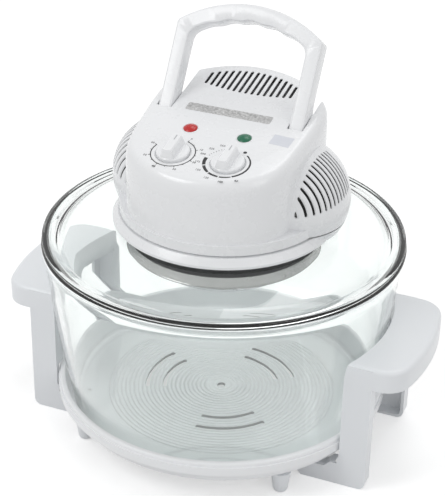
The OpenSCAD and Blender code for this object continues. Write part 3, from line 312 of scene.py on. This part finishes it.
def make_painted_hollow_shade():
    """Paints shade, as a near-black colour, on what lies inside the vented cover: behind the slots of the
    cheeks and of the top.
    """
    tree, shown, place, along = start_painted_shade("painted_hollow_shade", (0.03, 0.03, 0.03, 1))
    side = maths(tree, "ABSOLUTE", along["X"], x=-900, y=0)
    folded = add_node(tree, "ShaderNodeCombineXYZ", -700, 0)
    reach = add_node(tree, "ShaderNodeVectorMath", -500, 0, operation="DISTANCE")
    reach.inputs[1].default_value = tuple(value * MM for value in CHEEK)
    tree.links.new(side, folded.inputs["X"])
    tree.links.new(along["Y"], folded.inputs["Y"])
    tree.links.new(along["Z"], folded.inputs["Z"])
    tree.links.new(folded.outputs[0], reach.inputs[0])
    in_cheek = maths(tree, "LESS_THAN", reach.outputs["Value"], (CHEEK_R - SKIN_DEPTH) * MM, x=-300, y=0)
    outside = maths(tree, "GREATER_THAN", side, CHEEK_HOLLOW_X * MM, x=-500, y=-160)
    cheek = maths(tree, "MULTIPLY", in_cheek, outside, x=-100, y=0)
    middle = (PANEL_MID - SKIN_DEPTH) * MM
    skin = maths(tree, "MULTIPLY_ADD", along["Y"], math.tan(PANEL_TILT), middle, x=-700, y=-340)
    below = maths(tree, "LESS_THAN", along["Z"], skin, x=-500, y=-340)
    behind = maths(tree, "GREATER_THAN", along["Y"], TOP_HOLLOW_Y * MM, x=-500, y=-500)
    radius = distance_from_axis(tree, place, -700, -660)
    within = maths(tree, "LESS_THAN", radius, TOP_HOLLOW_R * MM, x=-300, y=-660)
    narrow = maths(tree, "LESS_THAN", side, TOP_HOLLOW_X * MM, x=-300, y=-820)
    deep = maths(tree, "MULTIPLY", below, behind, x=-300, y=-400)
    central = maths(tree, "MULTIPLY", within, narrow, x=-100, y=-700)
    top = maths(tree, "MULTIPLY", deep, central, x=100, y=-400)
    tree.links.new(maths(tree, "MAXIMUM", cheek, top, x=250, y=-100), shown)
    return tree


def make_painted_slot_shade():
    """Paints shade, as a dark grey colour, on the walls of the slots in the dish's floor, which lie between
    its two faces.
    """
    tree, shown, place, along = start_painted_shade("painted_slot_shade", (0.16, 0.17, 0.17, 1))
    above = maths(tree, "GREATER_THAN", along["Z"], (DISH_FLOOR_LOW + SLOT_LOW_MARGIN) * MM, x=-500, y=300)
    below = maths(tree, "LESS_THAN", along["Z"], (DISH_FLOOR_TOP - SLOT_TOP_MARGIN) * MM, x=-500, y=140)
    radius = distance_from_axis(tree, place, -700, -300)
    within = maths(tree, "LESS_THAN", radius, DISH_FLAT_R * MM, x=-300, y=-300)
    level = maths(tree, "MULTIPLY", above, below, x=-300, y=200)
    tree.links.new(maths(tree, "MULTIPLY", level, within, x=-100, y=100), shown)
    return tree


moulded_skin = make_moulded_skin()
painted_hollow_shade = make_painted_hollow_shade()
painted_slot_shade = make_painted_slot_shade()
drawn_metal = make_drawn_metal()


# Finishes

def start_finish(name, **values):
    material = bpy.data.materials.new(name)
    material.use_nodes = True
    shader = material.node_tree.nodes["Principled BSDF"]
    shader.location = (300, 0)
    set_inputs(shader, **values)
    return material, material.node_tree, shader


def feed(tree, group, shader, **values):
    effect = add_node(tree, "ShaderNodeGroup", -100, 0, node_tree=group)
    set_inputs(effect, **values)
    tree.links.new(effect.outputs["Color"], shader.inputs["Base Color"])
    tree.links.new(effect.outputs["Roughness"], shader.inputs["Roughness"])
    tree.links.new(effect.outputs["Normal"], shader.inputs["Normal"])
    return effect


def moulding(name, tint, shade, gloss=0.22, smudge=0.1, coat=0.25, grain=0.03, grain_size=900.0,
             patch=12.0):
    material, tree, shader = start_finish(name, Coat_Weight=coat, Coat_Roughness=0.08)
    feed(tree, moulded_skin, shader, Tint=tint, Shade=shade, Gloss=gloss, Smudge=smudge,
         Grain_Depth=grain, Grain_Size=grain_size, Patch_Size=patch)
    return material


def metal(name, tint, gloss=0.15, pitch=700.0, depth=0.05):
    material, tree, shader = start_finish(name, Metallic=1.0)
    feed(tree, drawn_metal, shader, Tint=tint, Gloss=gloss, Line_Pitch=pitch, Line_Depth=depth)
    return material


def darken(tree, group, shader):
    """Puts a group of painted shade between a finish's colour and its shader."""
    skin = shader.inputs["Base Color"].links[0].from_socket
    effect = add_node(tree, "ShaderNodeGroup", 100, 240, node_tree=group)
    tree.links.new(skin, effect.inputs["Color"])
    tree.links.new(effect.outputs["Color"], shader.inputs["Base Color"])


def vented_moulding(name, tint, shade):
    material = moulding(name, tint, shade)
    tree = material.node_tree
    # Painted shade inside the hollow behind the vents
    darken(tree, painted_hollow_shade, tree.nodes["Principled BSDF"])
    return material


def ringed_dish():
    material, tree, shader = start_finish("ringed_dish", Coat_Weight=0.2, Coat_Roughness=0.1)
    skin = feed(tree, moulded_skin, shader, Tint=(0.9, 0.91, 0.92, 1), Shade=(0.87, 0.88, 0.9, 1),
                Gloss=0.3, Smudge=0.12, Grain_Depth=0.03)
    place = add_node(tree, "ShaderNodeTexCoord", -900, -400)
    apart = add_node(tree, "ShaderNodeSeparateXYZ", -700, -400)
    bump = add_node(tree, "ShaderNodeBump", 160, -300)
    set_inputs(bump, Strength=0.5, Distance=0.0006)
    tree.links.new(place.outputs["Object"], apart.inputs[0])
    radius = distance_from_axis(tree, place.outputs["Object"], -700, -560)
    phase = maths(tree, "MULTIPLY", radius, 2 * math.pi / (RING_PITCH * MM), x=-300, y=-560)
    wave = maths(tree, "SINE", phase, x=-120, y=-560)
    within = maths(tree, "LESS_THAN", radius, DISH_FLAT_R * MM, x=-300, y=-720)
    low_edge = (DISH_FLOOR_TOP - RING_MARGIN) * MM
    high = maths(tree, "GREATER_THAN", apart.outputs["Z"], low_edge, x=-300, y=-880)
    floor = maths(tree, "MULTIPLY", within, high, x=-120, y=-760)
    tree.links.new(maths(tree, "MULTIPLY", wave, floor, x=60, y=-600), bump.inputs["Height"])
    tree.links.new(skin.outputs["Normal"], bump.inputs["Normal"])
    tree.links.new(bump.outputs["Normal"], shader.inputs["Normal"])
    # Painted shade on the walls of the dish's slots
    darken(tree, painted_slot_shade, shader)
    return material


def clear_glass(name, tint, shade, ior=1.5, ripple=0.012):
    material, tree, shader = start_finish(name, Metallic=0.0, Transmission_Weight=1.0, IOR=ior)
    feed(tree, moulded_skin, shader, Tint=tint, Shade=shade, Gloss=0.0, Smudge=0.012,
         Patch_Size=6.0, Grain_Size=9.0, Grain_Depth=ripple)
    path = add_node(tree, "ShaderNodeLightPath", 300, 320)
    clear = add_node(tree, "ShaderNodeBsdfTransparent", 300, 160)
    clear.inputs["Color"].default_value = (0.985, 0.992, 0.99, 1)
    rays = path.outputs
    either = maths(tree, "MAXIMUM", rays["Is Shadow Ray"], rays["Is Diffuse Ray"], x=480, y=320)
    mix = add_node(tree, "ShaderNodeMixShader", 660, 100)
    out = tree.nodes["Material Output"]
    out.location = (860, 60)
    link = tree.links.new
    link(either, mix.inputs["Fac"])
    link(shader.outputs["BSDF"], mix.inputs[1])
    link(clear.outputs["BSDF"], mix.inputs[2])
    link(mix.outputs["Shader"], out.inputs["Surface"])
    return material


def striped(name, tint, dark, axis, pitch, metallic, gloss, depth):
    material, tree, shader = start_finish(name, Metallic=metallic)
    skin = feed(tree, moulded_skin, shader, Tint=tint, Shade=dark, Gloss=gloss, Grain_Depth=0.05)
    place = add_node(tree, "ShaderNodeTexCoord", -700, -400)
    lines = add_node(tree, "ShaderNodeTexWave", -400, -400, wave_type="BANDS", bands_direction=axis)
    set_inputs(lines, Scale=pitch)
    bump = add_node(tree, "ShaderNodeBump", 100, -300)
    set_inputs(bump, Strength=depth, Distance=0.0003)
    tree.links.new(place.outputs["Object"], lines.inputs["Vector"])
    tree.links.new(lines.outputs["Fac"], bump.inputs["Height"])
    tree.links.new(skin.outputs["Normal"], bump.inputs["Normal"])
    tree.links.new(bump.outputs["Normal"], shader.inputs["Normal"])
    return material


white_shell = moulding("white_shell", SHELL_TINT, SHELL_SHADE)
vented_shell = vented_moulding("vented_shell", SHELL_TINT, SHELL_SHADE)
white_knob = moulding("white_knob", (0.88, 0.89, 0.9, 1), (0.85, 0.86, 0.88, 1), gloss=0.18, coat=0.4)
white_stand = moulding("white_stand", (0.83, 0.85, 0.87, 1), (0.8, 0.82, 0.85, 1), gloss=0.3, coat=0.15)
dish_finish = ringed_dish()
bowl_glass = clear_glass("bowl_glass", (0.965, 0.987, 0.98, 1), (0.952, 0.98, 0.972, 1))
lid_finish = clear_glass("lid_glass", (0.975, 0.99, 0.985, 1), (0.962, 0.984, 0.977, 1))
quartz_tube = clear_glass("quartz_tube", (0.98, 0.97, 0.95, 1), (0.95, 0.94, 0.9, 1), ior=1.46)
neon_glass = clear_glass("neon_glass", (0.98, 0.9, 0.82, 1), (0.95, 0.85, 0.75, 1))
seal_rubber = moulding("seal_rubber", (0.03, 0.03, 0.032, 1), (0.045, 0.045, 0.045, 1), gloss=0.55,
                       coat=0.0, grain=0.2)
mirror_steel = metal("mirror_steel", (0.84, 0.85, 0.86, 1), gloss=0.04, pitch=300.0, depth=0.02)
pan_steel = metal("pan_steel", (0.42, 0.42, 0.41, 1), gloss=0.2, pitch=420.0, depth=0.12)
plated_steel = metal("plated_steel", (0.6, 0.61, 0.63, 1), gloss=0.22, pitch=900.0)
screw_zinc = metal("screw_zinc", (0.66, 0.66, 0.64, 1), gloss=0.25, pitch=1600.0)
tungsten = metal("tungsten", (0.42, 0.4, 0.38, 1), gloss=0.35, pitch=2400.0, depth=0.3)
ceramic = moulding("ceramic", (0.82, 0.8, 0.74, 1), (0.74, 0.71, 0.64, 1), gloss=0.75, coat=0.0, grain=0.3)
black_moulding = moulding("black_moulding", (0.02, 0.02, 0.022, 1), (0.03, 0.03, 0.03, 1), gloss=0.35,
                          coat=0.1, grain=0.1)
red_plunger = moulding("red_plunger", (0.6, 0.03, 0.02, 1), (0.5, 0.02, 0.02, 1))
red_glow = moulding("red_glow", (0.62, 0.006, 0.004, 1), (0.4, 0.004, 0.004, 1), gloss=0.22, coat=0.15)
green_glow = moulding("green_glow", (0.0, 0.16, 0.075, 1), (0.0, 0.09, 0.045, 1), gloss=0.22, coat=0.15)
dial_ink = moulding("dial_ink", (0.012, 0.012, 0.014, 1), (0.03, 0.03, 0.032, 1), gloss=0.55, coat=0.0,
                    grain=0.1)
grey_ink = moulding("grey_ink", (0.36, 0.37, 0.39, 1), (0.48, 0.49, 0.5, 1), gloss=0.35, coat=0.0,
                    grain=0.4, grain_size=1500.0)
speckled_strip = moulding("speckled_strip", (0.0, 0.0, 0.0, 1), (1, 1, 1, 1), gloss=0.4, coat=0.0,
                          patch=480.0)
sticker = moulding("sticker", (0.7, 0.72, 0.77, 1), (0.66, 0.68, 0.74, 1), gloss=0.35, coat=0.1)
laminations = striped("laminations", (0.2, 0.2, 0.21, 1), (0.12, 0.12, 0.13, 1), "Z", pitch=320.0,
                      metallic=0.8, gloss=0.4, depth=0.8)
copper_winding = striped("copper_winding", (0.7, 0.32, 0.12, 1), (0.5, 0.2, 0.07, 1), "X", pitch=420.0,
                         metallic=0.9, gloss=0.3, depth=1.0)

FINISHES = {
    white_shell: ["lower_housing", "carry_handle"],
    vented_shell: ["head_cover"],
    white_knob: ["timer_knob", "thermostat_knob"],
    white_stand: ["base_feet", "left_bracket", "right_bracket"],
    dish_finish: ["base_dish"],
    bowl_glass: ["bowl"],
    lid_finish: ["lid_glass"],
    quartz_tube: ["halogen_lamp"],
    neon_glass: ["indicator_lamps"],
    seal_rubber: ["upper_seal", "clamp_seal"],
    mirror_steel: ["convection_fan"],
    pan_steel: ["lamp_pan"],
    plated_steel: ["heat_shield", "wire_guard", "handle_pins", "timer", "thermostat", "inlet_pins",
                   "motor_brackets", "motor_shaft", "rotor"],
    screw_zinc: ["bracket_screws", "pan_screws", "pan_spacers", "guard_screws", "cover_screws",
                 "motor_screws", "fan_nut"],
    tungsten: ["lamp_filament"],
    ceramic: ["lamp_holders"],
    black_moulding: ["safety_switch", "power_inlet", "cooling_fan"],
    red_plunger: ["switch_plunger"],
    red_glow: ["red_lens"],
    green_glow: ["green_lens"],
    laminations: ["motor_stator"],
    copper_winding: ["motor_coil"],
}


# Smooth shading of the frame's meshes, with edges kept sharp by their angle

def make_smoothing():
    tree = bpy.data.node_groups.new("smooth_curves", "GeometryNodeTree")
    tree.interface.new_socket("Geometry", in_out="INPUT", socket_type="NodeSocketGeometry")
    tree.interface.new_socket("Geometry", in_out="OUTPUT", socket_type="NodeSocketGeometry")
    given = add_node(tree, "NodeGroupInput", -600, 0)
    result = add_node(tree, "NodeGroupOutput", 500, 0)
    weld = add_node(tree, "GeometryNodeMergeByDistance", -400, 0)
    weld.inputs["Distance"].default_value = 0.000002
    soft = add_node(tree, "GeometryNodeSetShadeSmooth", -180, 0, domain="FACE")
    sharp = add_node(tree, "GeometryNodeSetShadeSmooth", 200, 0, domain="EDGE")
    sharp.inputs["Shade Smooth"].default_value = False
    angle = add_node(tree, "GeometryNodeInputMeshEdgeAngle", -180, -220)
    limit = add_node(tree, "FunctionNodeCompare", 0, -220, data_type="FLOAT", operation="GREATER_THAN")
    limit.inputs["B"].default_value = math.radians(24)
    link = tree.links.new
    link(given.outputs[0], weld.inputs["Geometry"])
    link(weld.outputs["Geometry"], soft.inputs["Geometry"])
    link(soft.outputs["Geometry"], sharp.inputs["Geometry"])
    link(angle.outputs["Unsigned Angle"], limit.inputs["A"])
    link(limit.outputs["Result"], sharp.inputs["Selection"])
    link(sharp.outputs["Geometry"], result.inputs[0])
    return tree


def finish_frame():
    smoothing = make_smoothing()
    for material, names in FINISHES.items():
        for name in names:
            part = nodes[name]
            part.data.materials.clear()
            part.data.materials.append(material)
            part.modifiers.new("smooth_curves", "NODES").node_group = smoothing


# New pieces

def panel_place(x, y, lift=0.0):
    height = PANEL_MID + math.tan(PANEL_TILT) * y
    return (Matrix.Translation(Vector((x, y, height)) * MM) @ Matrix.Rotation(PANEL_TILT, 4, "X")
            @ Matrix.Translation((0, 0, lift * MM)))


def finish_piece(name, bm, body, material, smooth=False):
    mesh = bpy.data.meshes.new(name)
    bmesh.ops.recalc_face_normals(bm, faces=bm.faces)
    bm.to_mesh(mesh)
    bm.free()
    mesh.materials.append(material)
    if smooth:
        mesh.shade_smooth()
    piece = bpy.data.objects.new(name, mesh)
    bpy.context.scene.collection.objects.link(piece)
    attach(piece, body)


def add_bar(bm, place, size, at=(0, 0, 0), turn=0.0):
    made = bmesh.ops.create_cube(bm, size=1)
    shape = Matrix.Diagonal((size[0] * MM, size[1] * MM, size[2] * MM, 1))
    put = place @ Matrix.Rotation(turn, 4, "Z") @ Matrix.Translation(Vector(at) * MM)
    bmesh.ops.transform(bm, matrix=put @ shape, verts=made["verts"])


def add_band(bm, place, start, end, inner, outer):
    """A printed band on the panel from angle start to end, whose radii are functions of 0 to 1."""
    steps = max(2, int(abs(end - start) / 4))
    made = bmesh.ops.create_grid(bm, x_segments=steps, y_segments=1, size=0.5)
    verts = made["verts"]
    for vert in verts:
        along, across = vert.co.x + 0.5, vert.co.y + 0.5
        angle = math.radians(start + (end - start) * along)
        radius = inner(along) + (outer(along) - inner(along)) * across
        vert.co = Vector((radius * math.cos(angle), radius * math.sin(angle), 0)) * MM
    faces = list({face for vert in verts for face in vert.link_faces})
    raised = bmesh.ops.extrude_face_region(bm, geom=faces)
    top = [item for item in raised["geom"] if isinstance(item, bmesh.types.BMVert)]
    bmesh.ops.translate(bm, verts=top, vec=(0, 0, INK * MM))
    bmesh.ops.transform(bm, matrix=place, verts=verts + top)


def add_word(bm, text, place, size, height=0.1):
    curve = bpy.data.curves.new("figures", "FONT")
    curve.body = text
    curve.size = size * MM
    curve.extrude = height / 2 * MM
    curve.resolution_u = 3
    curve.align_x = "CENTER"
    curve.align_y = "CENTER"
    lettering = bpy.data.objects.new("figures", curve)
    bpy.context.scene.collection.objects.link(lettering)
    mesh = bpy.data.meshes.new_from_object(lettering.evaluated_get(bpy.context.evaluated_depsgraph_get()))
    mesh.transform(place)
    bm.from_mesh(mesh)
    bpy.data.objects.remove(lettering)
    bpy.data.curves.remove(curve)
    bpy.data.meshes.remove(mesh)


def polar(place, radius, degrees, lift=0.0):
    angle = math.radians(degrees)
    spot = Vector((radius * math.cos(angle), radius * math.sin(angle), lift)) * MM
    return place @ Matrix.Translation(spot)


def make_timer_dial():
    place = panel_place(-KNOB_X, KNOB_Y, DIAL_LIFT)
    bm = bmesh.new()
    inner, outer = TIMER_RING
    add_band(bm, place, TIMER_START, TIMER_START - TIMER_SWEEP, lambda t: inner, lambda t: outer)
    for step in range(TIMER_TICKS + 1):
        turn = math.radians(TIMER_START - TIMER_SWEEP * step / TIMER_TICKS)
        length = TIMER_TICK_LENGTHS[step % 2]
        add_bar(bm, place, (length, 0.5, INK), at=(TIMER_TICK_R + length / 2, 0, INK / 2), turn=turn)
    finish_piece("timer_scale", bm, "lid", dial_ink)
    bm = bmesh.new()
    for step in range(TIMER_FIGURES + 1):
        angle = TIMER_START - TIMER_SWEEP * step / TIMER_FIGURES
        add_word(bm, str(step * 10), polar(place, TIMER_FIGURE_R, angle, FIGURE_LIFT), TIMER_FIGURE_SIZE)
    finish_piece("timer_figures", bm, "lid", dial_ink)


def make_thermostat_dial():
    place = panel_place(KNOB_X, KNOB_Y, DIAL_LIFT)
    bm = bmesh.new()
    thin, thick = HEAT_RING_WIDTHS
    start, end = HEAT_RING_ANGLES
    add_band(bm, place, start, end, lambda t: HEAT_RING_R, lambda t: HEAT_RING_R + thin + (thick - thin) * t)
    thin, thick = HEAT_BAND_WIDTHS
    start, end = HEAT_BAND_ANGLES
    for band in range(HEAT_BANDS):
        low, high = band / HEAT_BANDS, (band + 1) / HEAT_BANDS - HEAT_BAND_GAP
        add_band(bm, place, start + (end - start) * low, start + (end - start) * high, lambda t: HEAT_BAND_R,
                 lambda t, low=low: HEAT_BAND_R + thin + (thick - thin) * (low + t / HEAT_BANDS))
    for step in range(HEAT_TICKS):
        turn = math.radians(HEAT_TICK_START - step * HEAT_TICK_STEP)
        add_bar(bm, place, (0.8, 0.5, INK), at=(HEAT_TICK_R, 0, INK / 2), turn=turn)
    finish_piece("thermostat_scale", bm, "lid", dial_ink)
    bm = bmesh.new()
    dot = bmesh.ops.create_cone(bm, cap_ends=True, segments=20, radius1=HEAT_OFF_R * MM,
                                radius2=HEAT_OFF_R * MM, depth=INK * MM)
    bmesh.ops.transform(bm, matrix=polar(place, HEAT_OFF_AT, HEAT_OFF_ANGLE, INK / 2), verts=dot["verts"])
    finish_piece("thermostat_off_dot", bm, "lid", dial_ink)
    bm = bmesh.new()
    for figure, angle in HEAT_FIGURES.items():
        add_word(bm, figure, polar(place, HEAT_FIGURE_R, angle, FIGURE_LIFT), HEAT_FIGURE_SIZE)
    finish_piece("thermostat_figures", bm, "lid", dial_ink)


def make_knob_marks():
    for name, x in (("timer_knob", -KNOB_X), ("thermostat_knob", KNOB_X)):
        bm = bmesh.new()
        add_bar(bm, panel_place(x, KNOB_Y), (0.9, 7.0, INK), at=(0, 7.6, KNOB_TOP + 0.03))
        finish_piece(name + "_mark", bm, name, grey_ink)


def make_panel_inlays():
    bm = bmesh.new()
    add_bar(bm, panel_place(*STRIP_AT), (*STRIP_SIZE, PLATE), at=(0, 0, PLATE_LIFT))
    corners = [edge for edge in bm.edges if abs(edge.calc_length() - PLATE * MM) < 1e-6]
    bmesh.ops.bevel(bm, geom=corners, offset=STRIP_CORNER_R * MM, segments=4, profile=0.5, affect="EDGES",
                    material=-1)
    finish_piece("panel_strip", bm, "lid", speckled_strip)
    bm = bmesh.new()
    add_bar(bm, panel_place(*STICKER_AT), (*STICKER_SIZE, PLATE), at=(0, 0, PLATE_LIFT), turn=STICKER_TURN)
    finish_piece("panel_sticker", bm, "lid", sticker)


def make_lens_rims():
    for name, x in (("red_lens_rim", -KNOB_X), ("green_lens_rim", KNOB_X)):
        bm = bmesh.new()
        ring = bmesh.ops.create_circle(bm, cap_ends=False, segments=12, radius=0.5 * MM)
        upright = Matrix.Translation((LENS_RIM_R * MM, 0, 0)) @ Matrix.Rotation(math.pi / 2, 4, "X")
        bmesh.ops.transform(bm, matrix=upright, verts=ring["verts"])
        bmesh.ops.spin(bm, geom=bm.verts[:] + bm.edges[:], cent=(0, 0, 0), axis=(0, 0, 1),
                       angle=2 * math.pi, steps=48, use_merge=True)
        bmesh.ops.transform(bm, matrix=panel_place(x, LENS_Y), verts=bm.verts)
        finish_piece(name, bm, "lid", white_knob, smooth=True)


# Studio

def seen_rays(tree):
    """Is 1 for rays that show a surface, straight, mirrored or through glass, and 0 for other rays."""
    path = add_node(tree, "ShaderNodeLightPath", -700, 200)
    rays = path.outputs
    seen = maths(tree, "MAXIMUM", rays["Is Camera Ray"], rays["Is Glossy Ray"], x=-500, y=260)
    return maths(tree, "MAXIMUM", seen, rays["Is Transmission Ray"], x=-300, y=260)


def make_floor():
    bm = bmesh.new()
    bmesh.ops.create_grid(bm, x_segments=1, y_segments=1, size=4)
    mesh = bpy.data.meshes.new("floor")
    bm.to_mesh(mesh)
    bm.free()
    floor = bpy.data.objects.new("floor", mesh)
    bpy.context.scene.collection.objects.link(floor)
    material = bpy.data.materials.new("studio_floor")
    material.use_nodes = True
    tree = material.node_tree
    tree.nodes.clear()
    lit = add_node(tree, "ShaderNodeBsdfDiffuse", -200, 0)
    lit.inputs["Color"].default_value = (0.8, 0.8, 0.8, 1)
    glow = add_node(tree, "ShaderNodeEmission", 0, 240)
    both = add_node(tree, "ShaderNodeAddShader", 200, 100)
    out = add_node(tree, "ShaderNodeOutputMaterial", 400, 100)
    tree.links.new(maths(tree, "MULTIPLY", seen_rays(tree), 0.42, x=-100, y=120), glow.inputs["Strength"])
    tree.links.new(glow.outputs[0], both.inputs[0])
    tree.links.new(lit.outputs[0], both.inputs[1])
    tree.links.new(both.outputs[0], out.inputs["Surface"])
    mesh.materials.append(material)


def make_world():
    world = bpy.data.worlds.new("studio")
    bpy.context.scene.world = world
    world.use_nodes = True
    tree = world.node_tree
    background = tree.nodes["Background"]
    background.inputs["Color"].default_value = (1, 1, 1, 1)
    level = add_node(tree, "ShaderNodeMapRange", -150, 100)
    set_inputs(level, To_Min=0.6, To_Max=1.0)
    tree.links.new(seen_rays(tree), level.inputs["Value"])
    tree.links.new(level.outputs["Result"], background.inputs["Strength"])


def add_lamp(name, at, size, power):
    data = bpy.data.lights.new(name, "AREA")
    data.shape = "DISK"
    data.size = size
    data.energy = power
    lamp = bpy.data.objects.new(name, data)
    bpy.context.scene.collection.objects.link(lamp)
    aim = LAMP_AIM - Vector(at)
    lamp.matrix_world = Matrix.Translation(at) @ aim.to_track_quat("-Z", "Y").to_matrix().to_4x4()


place_camera()
finish_frame()
make_timer_dial()
make_thermostat_dial()
make_knob_marks()
make_panel_inlays()
make_lens_rims()
make_floor()
make_world()
for lamp_name, (at, size, power) in LAMPS.items():
    add_lamp(lamp_name, at, size, power)
bpy.context.scene.view_settings.view_transform = "Standard"
